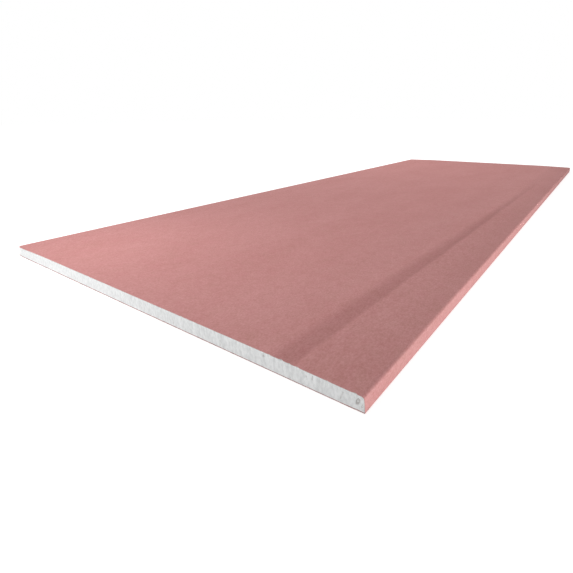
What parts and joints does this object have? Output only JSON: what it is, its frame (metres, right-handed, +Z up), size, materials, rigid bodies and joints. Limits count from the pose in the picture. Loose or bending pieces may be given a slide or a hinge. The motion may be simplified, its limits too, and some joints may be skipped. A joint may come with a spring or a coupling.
{
  "type": "drywall sheet",
  "caption": "Full sheet of fire-rated gypsum wallboard: a paper-wrapped core with tapered long edges and square-cut ends, lying face up.",
  "frame": {"origin": "middle of the back, on the floor that the sheet lies on", "axes": "+Y along the length, +X across the width, +Z up out of the face"},
  "size_m": [0.9, 2.4, 0.025],
  "materials": {
    "gypsum": "matt cast gypsum, sawn at the ends",
    "face_paper": "matt pink multi-ply paper",
    "back_paper": "matt greyish pink recycled paper"
  },
  "bodies": {
    "root": {"gypsum_core": "gypsum", "face_paper": "face_paper", "back_paper": "back_paper"}
  },
  "joints": []
}
